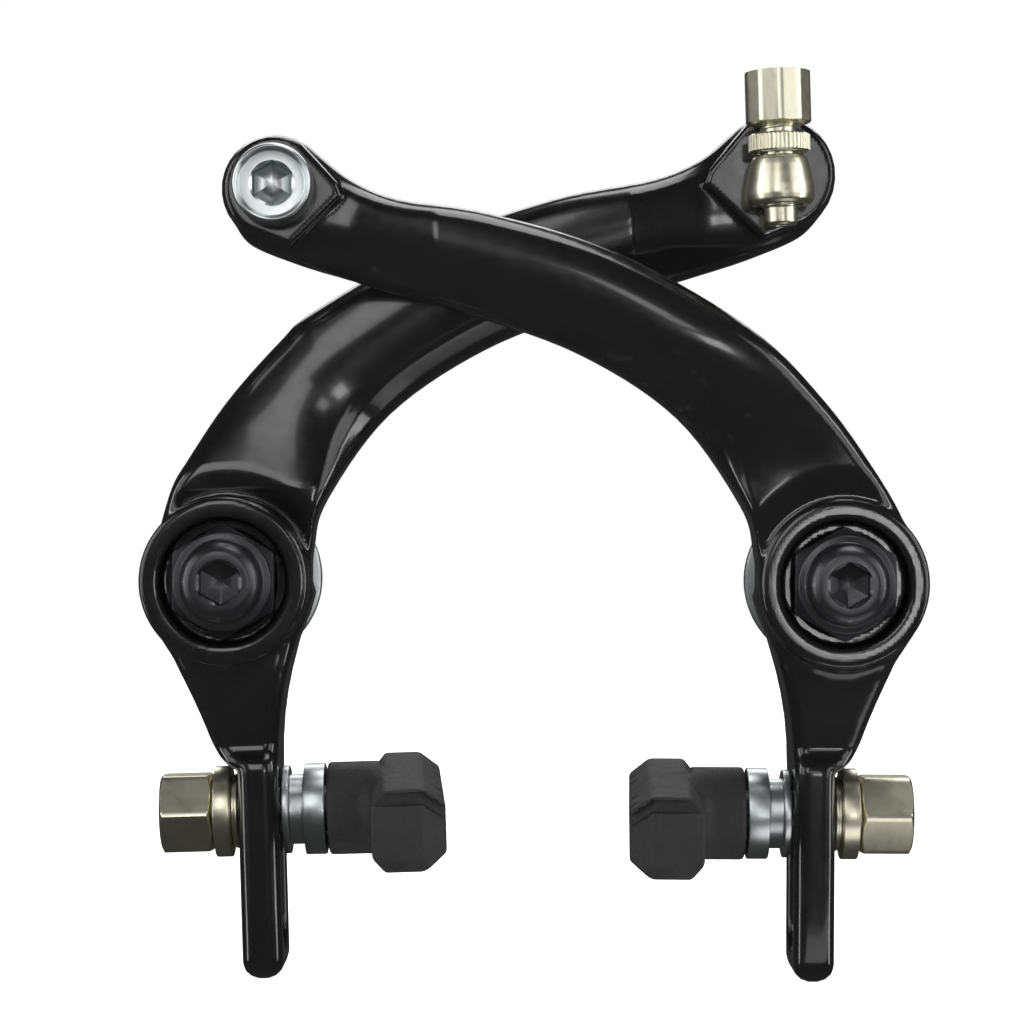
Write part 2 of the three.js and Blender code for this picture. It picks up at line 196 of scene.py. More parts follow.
# %% Edge wear: a second colour on the outward bends
def wear_group():
    tree, given, out = new_group(
        "edge_wear",
        [("Base", "NodeSocketColor", None), ("Worn", "NodeSocketColor", None),
         ("Bend", "NodeSocketFloat", 0.5), ("Patch", "NodeSocketFloat", 0.5),
         ("Amount", "NodeSocketFloat", 0.5)],
        [("Color", "NodeSocketColor"), ("Mask", "NodeSocketFloat")],
    )
    edge = node(tree, "ShaderNodeMapRange")
    edge.inputs["From Min"].default_value = 0.54
    edge.inputs["From Max"].default_value = 0.66
    broken = node(tree, "ShaderNodeMath", operation="MULTIPLY")
    scaled = node(tree, "ShaderNodeMath", operation="MULTIPLY", use_clamp=True)
    mix = node(tree, "ShaderNodeMix", data_type="RGBA")
    tree.links.new(given.outputs["Bend"], edge.inputs["Value"])
    tree.links.new(edge.outputs["Result"], broken.inputs[0])
    tree.links.new(given.outputs["Patch"], broken.inputs[1])
    tree.links.new(broken.outputs[0], scaled.inputs[0])
    tree.links.new(given.outputs["Amount"], scaled.inputs[1])
    tree.links.new(scaled.outputs[0], mix.inputs["Factor"])
    tree.links.new(given.outputs["Base"], mix.inputs["A"])
    tree.links.new(given.outputs["Worn"], mix.inputs["B"])
    tree.links.new(mix.outputs["Result"], out.inputs["Color"])
    tree.links.new(scaled.outputs[0], out.inputs["Mask"])
    return tree


WEAR = wear_group()
print("node group", WEAR.name)


# %% [markdown]
# One recipe makes all eight finishes, since they differ only in numbers: two colours
# that drift into each other in broad patches, a worn colour on the edges, the range of
# roughness, and the size and depth of the grain. Values that are the same all over,
# such as metal or coat, are set on the shader itself.

# %% The recipe for a finish
def finish(name, colours, worn, amount, roughness, scales, dent, metallic, coat=0.0, coat_roughness=0.1):
    material = bpy.data.materials.new(name)
    material.use_nodes = True
    tree = material.node_tree
    shader = tree.nodes["Principled BSDF"]
    place = node(tree, "ShaderNodeTexCoord")
    grain = node(tree, "ShaderNodeGroup", node_tree=GRAIN)
    grain.inputs["Fine Scale"].default_value, grain.inputs["Broad Scale"].default_value = scales
    grain.inputs["Low"].default_value, grain.inputs["High"].default_value = roughness
    drift = node(tree, "ShaderNodeMix", data_type="RGBA")
    drift.inputs["A"].default_value = (*colours[0], 1)
    drift.inputs["B"].default_value = (*colours[1], 1)
    bend = node(tree, "ShaderNodeNewGeometry")
    wear = node(tree, "ShaderNodeGroup", node_tree=WEAR)
    wear.inputs["Worn"].default_value = (*worn, 1)
    wear.inputs["Amount"].default_value = amount
    bump = node(tree, "ShaderNodeBump")
    bump.inputs["Distance"].default_value = dent * MM
    bump.inputs["Strength"].default_value = 0.6
    link = tree.links.new
    link(place.outputs["Object"], grain.inputs["Vector"])
    link(grain.outputs["Patch"], drift.inputs["Factor"])
    link(drift.outputs["Result"], wear.inputs["Base"])
    link(bend.outputs["Pointiness"], wear.inputs["Bend"])
    link(grain.outputs["Patch"], wear.inputs["Patch"])
    link(wear.outputs["Color"], shader.inputs["Base Color"])
    link(grain.outputs["Roughness"], shader.inputs["Roughness"])
    link(grain.outputs["Height"], bump.inputs["Height"])
    link(bump.outputs["Normal"], shader.inputs["Normal"])
    shader.inputs["Metallic"].default_value = metallic
    shader.inputs["Coat Weight"].default_value = coat
    shader.inputs["Coat Roughness"].default_value = coat_roughness
    return material


# %% The finishes of this brake
BLACK_COAT = finish(
    "gloss_black_coat", [(0.0045, 0.0045, 0.005), (0.0075, 0.0075, 0.008)], (0.04, 0.04, 0.042), 0.4,
    (0.15, 0.24), (700, 90), 0.003, 0.0, coat=0.4, coat_roughness=0.08,
)
# The pivot bushings' finish: black oxide, with its colour darkened further as painted shade for the dark
# pocket in which the bushing sits.
SHADED_BLACK_OXIDE = finish(
    "black_oxide_painted_shade", [(0.012, 0.012, 0.014), (0.024, 0.024, 0.027)], (0.12, 0.12, 0.125), 0.7,
    (0.30, 0.46), (1800, 240), 0.008, 0.75,
)
# The pivot bolts' finish: the same black steel, with its colour lightened as a painted highlight so that the
# rings of the domed head read brighter.
HIGHLIT_BLACK_STEEL = finish(
    "black_steel_painted_highlight", [(0.05, 0.05, 0.055), (0.09, 0.09, 0.095)], (0.30, 0.30, 0.31), 0.7,
    (0.24, 0.38), (1500, 240), 0.006, 0.9,
)
BRIGHT_ZINC = finish(
    "bright_zinc", [(0.56, 0.60, 0.61), (0.70, 0.73, 0.73)], (0.88, 0.9, 0.9), 0.5,
    (0.28, 0.36), (1500, 260), 0.003, 1.0,
)
YELLOW_ZINC = finish(
    "yellow_zinc", [(0.76, 0.74, 0.58), (0.90, 0.86, 0.69)], (0.96, 0.94, 0.82), 0.5,
    (0.28, 0.36), (1300, 210), 0.003, 1.0,
)
SPRING_STEEL = finish(
    "spring_wire", [(0.30, 0.31, 0.33), (0.42, 0.43, 0.45)], (0.6, 0.6, 0.6), 0.4,
    (0.25, 0.4), (2400, 300), 0.006, 1.0,
)
BRONZE = finish(
    "plain_bronze", [(0.42, 0.27, 0.12), (0.56, 0.38, 0.18)], (0.7, 0.5, 0.28), 0.4,
    (0.35, 0.5), (2000, 250), 0.008, 1.0,
)
RUBBER = finish(
    "moulded_rubber", [(0.010, 0.010, 0.011), (0.020, 0.020, 0.021)], (0.04, 0.04, 0.041), 0.7,
    (0.5, 0.75), (2600, 320), 0.03, 0.0,
)
print(len(bpy.data.materials), "materials")

# %% [markdown]
# ## Two ways to draw a shape
# A forging flows from one form into the next, with a rounded edge everywhere. Boxes and
# booleans leave hard seams there. A distance field does it well: each form is a function
# that is negative inside, and forms are joined or cut with a radius. The field is then
# turned into a mesh by putting one vertex in each small cell that the surface crosses.

# %% Rounded joins and cuts
def rounded_and(a, b, radius):
    """What is inside both fields, with the outer edge rounded."""
    corner = np.hypot(np.maximum(a + radius, 0), np.maximum(b + radius, 0))
    return np.minimum(-radius, np.maximum(a, b)) + corner


def rounded_or(a, b, radius):
    """What is inside either field, with the inner corner filled."""
    return -rounded_and(-a, -b, radius)


def rounded_cut(a, b, radius):
    return rounded_and(a, -b, radius)


# %% Outlines: distance from a drawn line
def gap_to(line, u, v):
    """The distance from points to a line of points, with no sign."""
    nearest = np.full(np.broadcast(u, v).shape, 1e6, np.float32)
    for (au, av), (bu, bv) in zip(line[:-1], line[1:]):
        du, dv = bu - au, bv - av
        along = np.clip(((u - au) * du + (v - av) * dv) / (du * du + dv * dv + 1e-12), 0, 1)
        np.minimum(nearest, np.hypot(u - au - along * du, v - av - along * dv), out=nearest)
    return nearest


def within(line, u, v):
    """True inside a closed line of points."""
    inside = np.zeros(np.broadcast(u, v).shape, bool)
    for (au, av), (bu, bv) in zip(line, np.roll(line, -1, axis=0)):
        if av == bv:
            continue
        crosses = ((av > v) != (bv > v)) & (u < (bu - au) * (v - av) / (bv - av) + au)
        inside ^= crosses
    return inside


def outline_field(line, u, v):
    closed = np.vstack([line, line[:1]])
    distance = gap_to(closed, u, v)
    return np.where(within(line, u, v), -distance, distance)


# %% Outlines: splines, curves and arcs
def spline(points, steps=7):
    """A smooth line through points."""
    points = np.asarray(points, float)
    last = len(points) - 1
    made = []
    for i in range(last):
        p0, p1, p2, p3 = (points[min(max(k, 0), last)] for k in (i - 1, i, i + 1, i + 2))
        t = np.linspace(0, 1, steps, endpoint=False)[:, None]
        m1, m2 = (p2 - p0) / 2, (p3 - p1) / 2
        made.append(
            (2 * p1 - 2 * p2 + m1 + m2) * t**3 + (-3 * p1 + 3 * p2 - 2 * m1 - m2) * t**2 + m1 * t + p1
        )
    return np.vstack(made + [points[-1:]])


def bezier(points, steps=8):
    """A curve that leaves the first point and reaches the last one, pulled by those between."""
    t = np.linspace(0, 1, steps)[:, None]
    level = [np.asarray(p, float) * np.ones((steps, 1)) for p in points]
    while len(level) > 1:
        level = [a * (1 - t) + b * t for a, b in zip(level[:-1], level[1:])]
    return level[0]


def arc(centre, radius, start, end, steps=16):
    angle = np.linspace(start, end, steps)
    return np.column_stack([centre[0] + radius * np.cos(angle), centre[1] + radius * np.sin(angle)])


# %% [markdown]
# The mesh has a vertex in each cell that holds both inside and outside corners, and a
# quad across each grid edge that the surface cuts. Two steps of Newton's method then
# pull each vertex exactly onto the surface, so that highlights run smoothly.

# %% A mesh from a field
CORNERS = [(i, j, k) for i in (0, 1) for j in (0, 1) for k in (0, 1)]


def crossing_points(value, cells):
    """For each cell, the mean of the places where its edges cross the surface."""
    total = np.zeros((len(cells), 3), np.float32)
    hits = np.zeros(len(cells), np.float32)
    for axis in range(3):
        step = np.eye(3, dtype=int)[axis]
        for corner in (c for c in CORNERS if c[axis] == 0):
            first = cells + corner
            a, b = value[tuple(first.T)], value[tuple((first + step).T)]
            cut = (a < 0) != (b < 0)
            share = np.where(cut, a / np.where(cut, a - b, 1), 0)
            total += (np.array(corner) + share[:, None] * step) * cut[:, None]
            hits += cut
    return cells + total / hits[:, None]


def onto_surface(field, points, step, rounds=2):
    nudge = 0.04
    corners = np.array([(1, 1, 1), (1, -1, -1), (-1, 1, -1), (-1, -1, 1)], float)
    for _ in range(rounds):
        values = [field(*(points + nudge * corner).T) for corner in corners]
        slope = sum(v[:, None] * corner for v, corner in zip(values, corners)) / (4 * nudge)
        here = sum(values) / 4
        move = (here / np.maximum((slope**2).sum(1), 0.2))[:, None] * slope
        points = points - np.clip(move, -0.6 * step, 0.6 * step)
    return points


# %% Cells and quads
def mesh_of(field, low, high, step):
    low = np.asarray(low, float) - 1.5 * step
    axes = [np.arange(a, b + 1.5 * step, step) for a, b in zip(low, high)]
    x, y, z = np.meshgrid(*axes, indexing="ij", sparse=True)
    value = field(x, y, z).astype(np.float32)
    inside = value < 0
    for layer in (inside[[0, -1]], inside[:, [0, -1]], inside[:, :, [0, -1]]):
        if layer.any():
            raise ValueError("the shape reaches past its box")
    full = [slice(None, -1), slice(1, None)]
    count = sum(inside[full[i], full[j], full[k]].astype(np.uint8) for i, j, k in CORNERS)
    cells = np.argwhere((count > 0) & (count < 8))
    number = np.full(count.shape, -1)
    number[tuple(cells.T)] = np.arange(len(cells))
    points = low + crossing_points(value, cells) * step
    faces = []
    for axis in range(3):
        near, far = [slice(None)] * 3, [slice(None)] * 3
        near[axis], far[axis] = full
        edges = np.argwhere(inside[tuple(near)] != inside[tuple(far)])
        u, v = np.eye(3, dtype=int)[(axis + 1) % 3], np.eye(3, dtype=int)[(axis + 2) % 3]
        ring = [number[tuple((edges - shift).T)] for shift in (0 * u, u, u + v, v)]
        quad = np.column_stack(ring)
        outwards = inside[tuple(edges.T)]
        faces.append(np.where(outwards[:, None], quad, quad[:, ::-1]))
    return onto_surface(field, points, step), np.vstack(faces)


print("field tools ready")

# %% [markdown]
# Bolts, nuts, washers and sleeves are turned or six-sided, so a ring of points for each
# step of the profile makes them exactly. The radius of a ring may change with the angle:
# a hexagon is a circle whose radius follows a rule, and where a cone cuts it, the
# smaller radius wins. That gives the curved chamfers of a real nut.

# %% Rings round an axis
AROUND = np.arange(120) * 2 * math.pi / 120


def sided(flats, sides=6, turn=0.0, rounding=0.985):
    """The radius at each angle of a bar with flat sides and slightly rounded corners."""
    wedge = 2 * math.pi / sides
    off = (AROUND - turn + wedge / 2) % wedge - wedge / 2
    return np.minimum(flats / 2 / np.cos(np.abs(off) - wedge / 2), flats / 2 / math.cos(wedge / 2) * rounding)


def skin(rings, axis, centre, loop=False):
    """Points and faces of a closed skin; a ring is (radius or radii, height along the axis)."""
    rows = [np.broadcast_to(np.asarray(r, float), AROUND.shape) for r, _ in rings]
    heights = [h for _, h in rings]
    u = np.concatenate([r * np.sin(AROUND) for r in rows])
    v = np.concatenate([r * np.cos(AROUND) for r in rows])
    h = np.repeat(heights, len(AROUND))
    order = {"x": (h, u, v), "y": (u, h, v), "z": (u, v, h)}[axis]
    points = np.column_stack(order) + np.asarray(centre, float)
    size, count = len(AROUND), len(rings)
    faces = []
    for i in range(count if loop else count - 1):
        a, b = i * size, (i + 1) % count * size
        for j in range(size):
            k = (j + 1) % size
            faces.append((a + j, a + k, b + k, b + j))
    return points, faces


# %% Rounded corners in a profile
def eased(profile, radius=0.25, steps=3, loop=False):
    """A profile of (radius, height) with its corners rounded; rings that aren't round stay as they are."""
    made = []
    last = len(profile) - 1
    for i, (r, h) in enumerate(profile):
        plain = all(np.isscalar(profile[(i + k) % len(profile)][0]) for k in (-1, 0, 1))
        if not plain or (not loop and i in (0, last)) or r < 0.01:
            made.append((r, h))
            continue
        here = np.array([r, h])
        before = np.array(profile[i - 1], float) - here
        after = np.array(profile[(i + 1) % len(profile)], float) - here
        reach = min(radius, 0.45 * np.linalg.norm(before), 0.45 * np.linalg.norm(after))
        if reach < 0.02:
            made.append((r, h))
            continue
        start = here + before / np.linalg.norm(before) * reach
        end = here + after / np.linalg.norm(after) * reach
        made += [tuple(p) for p in bezier([start, here, end], steps + 1)]
    return made


def turned(name, profile, axis, centre, side, loop=False, ease=0.25, leans=True):
    rings = eased(profile, ease, loop=loop)
    points, faces = skin(rings, axis, centre, loop)
    return mesh_object(name, to_frame(points, side, leans), faces)


print("turning tools ready")

# %% [markdown]
# ## The forged arms
# Each arm is one aluminium forging under a gloss black coat. Its band is slightly
# crowned, with a crease near the lower edge and a facet that looks down. Drawing the
# outline in two splines keeps apart the upper edge, which is rounded softly, and the
# lower one, where the facet runs. The outline repeats the measured part's.

# %% The outline of an arm
BOSS_RADIUS, BOSS_FRONT, POCKET_RADIUS, POCKET_FLOOR = 10.9, -22.5, 8.2, -19.6
HUB_RADIUS, HUB_BACK, SHOULDER = 9.4, -2.4, -14
BORE, SPRING_ROOM, ROOM_FRONT, RELIEF = 6.5, 8.3, -11.2, 11.3
TIP, TIP_BORE = (-73.3, 50.3), 3.3
LOWER_EDGE = [(-76.5, 43.2), (-70.6, 40.8), (-64.4, 38.9), (-49.7, 34.9), (-34.5, 29.6), (-21.5, 21.3),
              (-13, 10.1), (-11.2, 4), (-BOSS_RADIUS, 0)]


def arm_lines(upper_edge, rise, radius):
    """The upper edge, the lower edge, the whole band and the seat on the tip, of one arm."""
    centre = (TIP[0], TIP[1] + rise)
    lobe = arc(centre, radius, math.pi / 4, 1.22 * math.pi)
    upper = spline([(BOSS_RADIUS, 0), *upper_edge, lobe[0]])
    lower = spline([lobe[-1], *LOWER_EDGE])
    seat = np.vstack([
        arc(centre, radius - 0.5, math.pi / 3, 1.32 * math.pi, 24),
        [(centre[0] + 2, centre[1] - radius - 0.6), (centre[0] + radius + 1.6, centre[1] - 1),
         (centre[0] + radius + 0.8, centre[1] + 0.8)],
    ])
    band = np.vstack([upper, lobe, lower, arc((0, 0), BOSS_RADIUS, math.pi, 2 * math.pi)])
    return {"upper": upper, "lower": lower, "band": band, "seat": seat}


FRONT_LINES = arm_lines(
    [(8, 7.6), (4.4, 13.8), (-2.7, 23.4), (-12.9, 33), (-29.7, 42.4), (-45.7, 47.2), (-57.5, 49.1),
     (-63.6, 51.6)],
    rise=0, radius=7,
)
REAR_LINES = arm_lines(
    [(7.3, 11.2), (4.7, 16), (-0.5, 23.7), (-7.6, 31.3), (-12.2, 35.1), (-28.5, 43.9), (-44, 48.9),
     (-56.5, 51), (-63.2, 53.5)],
    rise=0.9, radius=8,
)
LEG_IN, LEG_OUT, LEG_END = -5.9, -0.6, -53.0
LEG = np.vstack([
    bezier([(-10.6, -2), (-8, -11), (LEG_IN, -16), (LEG_IN, -25)]),
    bezier([(LEG_IN, LEG_END + 3), (LEG_IN, LEG_END), (LEG_OUT, LEG_END), (LEG_OUT, LEG_END + 3)]),
    bezier([(LEG_OUT, -24.8), (1.9, -23.6), (3.0, -20.3)]),
    bezier([(3.0, -20.3), (5.8, -12), (10.6, -3)]),
])
print(len(FRONT_LINES["band"]), "points round the front band,", len(LEG), "round the leg")

# %% [markdown]
# The depth of the band changes along it, so that the front arm passes clear of the rear
# one. Two profiles give it: one by height and one by the distance across. The front
# rises in one smooth step, and the kinks of the other profiles are softened by averaging
# them over a few millimetres.

# %% Depth profiles
def eased_line(at, stops, values, spread=3.0):
    shifts = np.linspace(-spread, spread, 5)
    return sum(np.interp(at + shift, stops, values) for shift in shifts) / len(shifts)


def eased_step(at, start, end, before, after):
    """Goes smoothly from one value to another between two places."""
    t = np.clip((at - start) / (end - start), 0, 1)
    return before + (after - before) * t * t * (3 - 2 * t)


FRONT_DEPTH = {
    "rise_front": (13, 33, -23.2, -27.4),
    "reach_front": ([-90, -64, -50], [-24.8, -25.0, -28]),
    "rise_back": ([13, 26], [-12, -17.6]),
    "reach_back": ([-66, -58, -50], [-19.9, -17.6, -9]),
    "seat": -25.7,
}
REAR_DEPTH = {
    "rise_front": (3, 26, -20.6, -15.9),
    "reach_front": ([-64, -54, -46], [-13.6, -15.9, -19]),
    "rise_back": ([-12, 10, 25], [-12, -9, -6]),
    "reach_back": ([-64, -56, -48], [-7.5, -6, -3]),
    "seat": -14.6,
}
FACET, FACET_SLOPE = 3.7, math.radians(42)
CROWN, DISH, DISH_WIDTH = 1.3, 1.3, 4.5


# %% The band of an arm
def band_field(depth, lines, x, y, z):
    up, low = gap_to(lines["upper"], x, z), gap_to(lines["lower"], x, z)
    edge = outline_field(lines["band"], x, z)
    from_pivot, from_tip = np.hypot(x, z), np.hypot(x - TIP[0], z - TIP[1])
    width = FACET * eased_step(from_pivot, 12, 30, 0, 1) * eased_step(from_tip, 7, 18, 0.25, 1)
    across = up / (up + np.maximum(low - width, 0) + 0.3)
    crown = CROWN * (2 * across - 1) ** 2 * eased_step(from_pivot, 13, 26, 0, 1)
    dish = eased_step(from_pivot, BOSS_RADIUS, BOSS_RADIUS + DISH_WIDTH, DISH, 0)
    front = np.maximum(eased_step(z, *depth["rise_front"]), eased_line(x, *depth["reach_front"], 1.2))
    front = front + crown + dish
    back = np.minimum(eased_line(z, *depth["rise_back"]), eased_line(x, *depth["reach_back"]))
    face = front - y
    facet = (face + (width - low) * math.tan(FACET_SLOPE)) * math.cos(FACET_SLOPE)
    skin_front = rounded_and(face, np.where(width > 0.05, facet, face - 2), 0.8)
    rounding = 2.2 - 1.1 * across
    return rounded_and(rounded_and(skin_front, edge, rounding), y - back, 1.1)


# %% The leg of an arm
LEG_FRONT = ([-56, -50, -24, -22, -18.5, -12, 0], [-15, -18, -18.6, -16.9, -17.6, -19.4, -19])
LEG_BACK = ([-56, -50, -22, -12, 0], [-7, -4, -4, -6.5, -7])
SLOT_HALF, SLOT_TOP, SLOT_BOTTOM = 3.6, -30.3, -45.1
STUD = (-11.0, -30.6)


def leg_field(x, y, z):
    edge = outline_field(LEG, x, z)
    sides = rounded_and(edge, eased_line(z, *LEG_FRONT, 0.7) - y, 1.9)
    return rounded_and(sides, y - eased_line(z, *LEG_BACK, 1.5), 1.6)


# %% The whole forging
def arm_field(depth, lines):
    def field(x, y, z):
        r = np.hypot(x, z)
        band = rounded_cut(band_field(depth, lines, x, y, z), np.maximum(r - RELIEF, y - BOSS_FRONT), 0.5)
        boss = np.maximum(rounded_and(r - BOSS_RADIUS, BOSS_FRONT - y, 0.7), y - SHOULDER)
        hub = rounded_and(np.maximum(r - HUB_RADIUS, SHOULDER - 1 - y), y - HUB_BACK, 0.4)
        seat = rounded_and(outline_field(lines["seat"], x, z), depth["seat"] - y, 0.5)
        seat = np.maximum(seat, y - depth["seat"] - 3)
        body = rounded_or(rounded_or(band, leg_field(x, y, z), 2.0), boss, 0.5)
        body = rounded_or(np.minimum(body, hub), seat, 0.3)
        pocket = np.maximum(r - POCKET_RADIUS, y - POCKET_FLOOR)
        room = np.maximum(r - SPRING_ROOM, ROOM_FRONT - y)
        tang = np.maximum(np.hypot(x, z - 7.2) - 1.4, -13.6 - y)
        tang = np.maximum(tang, y + 10)
        slot = np.hypot(y - STUD[0], z - np.clip(z, SLOT_BOTTOM, SLOT_TOP)) - SLOT_HALF
        hole = np.hypot(x - TIP[0], z - TIP[1]) - TIP_BORE
        cuts = [(pocket, 0.6), (r - BORE, 0.3), (room, 0.3), (tang, 0.1), (slot + 0 * x, 0.7), (hole, 0.3)]
        for cut, radius in cuts:
            body = rounded_cut(body, cut, radius)
        return body
    return field


ARM_CELL = 0.42
for side, depth, lines in (("right", FRONT_DEPTH, FRONT_LINES), ("left", REAR_DEPTH, REAR_LINES)):
    low, high = (-82.5, -28.6, -54), (12.5, -1.8, 60)
    points, faces = mesh_of(arm_field(depth, lines), low, high, ARM_CELL)
    arm = mesh_object(f"{side}_forged_arm", to_frame(points, side), faces)
    settle(arm, BLACK_COAT, "arm_coat", f"{side}_arm", [f"{side}_arm"], sharp=75)

# %% [markdown]
# ## The pivots
# Each arm turns on a steel bushing whose six-sided front end sets the spring's tension.
# A domed bolt with a flange holds the stack on the frame, and a bright plate with the
# spring's rear end lies against the frame boss. All of them are turned pieces.

# %% Sockets and bolts
def socket_rings(top, depth, flats, lip):
    """The rings of a six-sided socket, from its floor up to the flat round it."""
    hexagon = sided(flats, rounding=1)
    return [(0.0, top + depth + 0.7), (hexagon * 0.55, top + depth + 0.35), (hexagon, top + depth),
            (hexagon, top + 0.3), (np.maximum(hexagon, lip), top)]


def pivot_bolt_rings():
    socket = socket_rings(-28.0, depth=3.0, flats=5.0, lip=2.95)
    dome = [(3.4, -28.0), (3.9, -27.95), (4.5, -27.6), (4.95, -27.1), (5.2, -26.5), (5.3, -25.9),
            (5.3, -24.5)]
    flange = [(5.45, -24.3), (6.3, -24.15), (6.3, -23.3)]
    shank = [(3.0, -23.3), (3.0, -8.6), (2.4, -8.0), (0.0, -8.0)]
    return socket + dome + flange + shank


def chamfered_bar(flats, near, far, cone, turn=0.0, sides=6):
    """The rings of a bar with flat sides, whose two ends are cut by a cone down to a flat of that radius."""
    bar = sided(flats, sides, turn)
    depth = (bar.max() - cone) * 0.5
    steps = np.linspace(0, 1, 6)
    cut = [(np.minimum(bar, cone + s * (bar.max() - cone)), s * depth) for s in steps]
    direction = 1 if far > near else -1
    start = [(r, near + direction * d) for r, d in cut]
    end = [(r, far - direction * d) for r, d in reversed(cut)]
    return start + end


def bushing_rings():
    collar = chamfered_bar(13.0, -23.0, -19.9, 6.15)
    sleeve = [(5.4, -19.85), (5.4, -2.4), (4.6, -2.4), (4.6, -22.7), (4.9, -23.0)]
    return collar + sleeve


for side in ("right", "left"):
    # The bolt takes the lightened copy of black steel: a painted highlight on its head.
    bolt = turned(f"{side}_domed_pivot_bolt", pivot_bolt_rings(), "y", (0, 0, 0), side, ease=0.2, leans=False)
    settle(bolt, HIGHLIT_BLACK_STEEL, "black_steel", "frame_hardware", [f"{side}_pivot_bolt"], 30)
    # The bushing takes the darkened copy of black steel: painted shade for its pocket.
    bushing = turned(
        f"{side}_hex_bushing", bushing_rings(), "y", (0, 0, 0), side, loop=True, ease=0.2, leans=False
    )
    settle(bushing, SHADED_BLACK_OXIDE, "black_steel", f"{side}_tension_bushing", [f"{side}_tension_bushing"], 30)
    plate = turned(
        f"{side}_bright_plate", [(4.9, 0.0), (11.4, 0.0), (11.4, -2.0), (4.9, -2.0)],
        "y", (0, 0, 0), side, loop=True, ease=0.3, leans=False,
    )
    settle(plate, BRIGHT_ZINC, "bright_zinc", "frame_hardware", [f"{side}_spring_plate"], 30)
    liner = turned(
        f"{side}_bronze_liner", [(5.7, -11.6), (6.2, -11.6), (6.2, -19.2), (5.7, -19.2)],
        "y", (0, 0, 0), side, loop=True, ease=0.1,
    )
    settle(liner, BRONZE, "bronze", f"{side}_arm", [f"{side}_pivot_liner"], 30)

# %% [markdown]
# ## Coils and threads
# A spring's coils, a screw's thread and a cable's strands all follow a helix. One tree
# of geometry nodes makes them: a spiral curve with a round section swept along it. The
# sizes are named inputs, so the same tree gives a fine thread and a fat spring.

# %% A tree that sweeps a helix
def growing_tree(name, inputs):
    """An empty tree of geometry nodes that paints what it makes with one finish."""
    return new_group(
        name, [*inputs, ("Finish", "NodeSocketMaterial", None)], [("Geometry", "NodeSocketGeometry")],
        "GeometryNodeTree",
    )


def give_out(tree, given, out, made):
    """Makes copies real, paints them and gives them out."""
    real = node(tree, "GeometryNodeRealizeInstances")
    paint = node(tree, "GeometryNodeSetMaterial")
    tree.links.new(made, real.inputs["Geometry"])
    tree.links.new(real.outputs["Geometry"], paint.inputs["Geometry"])
    tree.links.new(given.outputs["Finish"], paint.inputs["Material"])
    tree.links.new(paint.outputs["Geometry"], out.inputs["Geometry"])


def helix_tree():
    tree, given, out = growing_tree(
        "swept_helix",
        [("Radius", "NodeSocketFloat", 3.0), ("Height", "NodeSocketFloat", 5.0),
         ("Turns", "NodeSocketFloat", 5.0), ("Wire", "NodeSocketFloat", 0.5),
         ("Steps Per Turn", "NodeSocketInt", 48)],
    )
    spiral = node(tree, "GeometryNodeCurveSpiral")
    section = node(tree, "GeometryNodeCurvePrimitiveCircle")
    section.inputs["Resolution"].default_value = 12
    sweep = node(tree, "GeometryNodeCurveToMesh")
    sweep.inputs["Fill Caps"].default_value = True
    link = tree.links.new
    for socket in ("Start Radius", "End Radius"):
        link(given.outputs["Radius"], spiral.inputs[socket])
    link(given.outputs["Height"], spiral.inputs["Height"])
    link(given.outputs["Turns"], spiral.inputs["Rotations"])
    link(given.outputs["Steps Per Turn"], spiral.inputs["Resolution"])
    link(given.outputs["Wire"], section.inputs["Radius"])
    link(spiral.outputs["Curve"], sweep.inputs["Curve"])
    link(section.outputs["Curve"], sweep.inputs["Profile Curve"])
    give_out(tree, given, out, sweep.outputs["Mesh"])
    return tree


HELIX = helix_tree()


# %% Run a tree and keep its mesh
def grown(tree, **values):
    """Runs a tree on an empty mesh and gives the points and faces that it makes."""
    host = bpy.data.objects.new("host", bpy.data.meshes.new("host"))
    bpy.context.scene.collection.objects.link(host)
    modifier = host.modifiers.new("grow", "NODES")
    modifier.node_group = tree
    names = {s.name: s.identifier for s in tree.interface.items_tree if s.in_out == "INPUT"}
    for name, value in values.items():
        modifier[names[name]] = value
    evaluated = host.evaluated_get(bpy.context.evaluated_depsgraph_get())
    mesh = bpy.data.meshes.new_from_object(evaluated)
    points = np.array([v.co for v in mesh.vertices], float).reshape(-1, 3)
    faces = [tuple(p.vertices) for p in mesh.polygons]
    host.modifiers.remove(modifier)
    bpy.data.objects.remove(host)
    bpy.data.meshes.remove(mesh)
    return points, faces


def joined(*shapes):
    """Several (points, faces) as one."""
    points, faces, start = [], [], 0
    for p, f in shapes:
        points.append(np.asarray(p, float))
        faces += [tuple(int(i) + start for i in face) for face in f]
        start += len(p)
    return np.vstack(points), faces


# %% [markdown]
# The return spring lies in the back of the arm's hub. Its rear end is held on the frame
# side and its front end pushes the arm, so the coil has to twist between the two.

# %% The return springs
COIL_RADIUS, COIL_WIRE, COIL_TURNS, COIL_BACK, COIL_FRONT = 7.2, 0.6, 3.5, -4.2, -9.8


def end_rod(z, start, stop):
    """A straight end of the wire, along the axis."""
    rings = [(0.0, start), (COIL_WIRE * 0.8, start), (COIL_WIRE, start - 0.15), (COIL_WIRE, stop),
             (0.0, stop)]
    return skin(rings, "y", (0, 0, z))


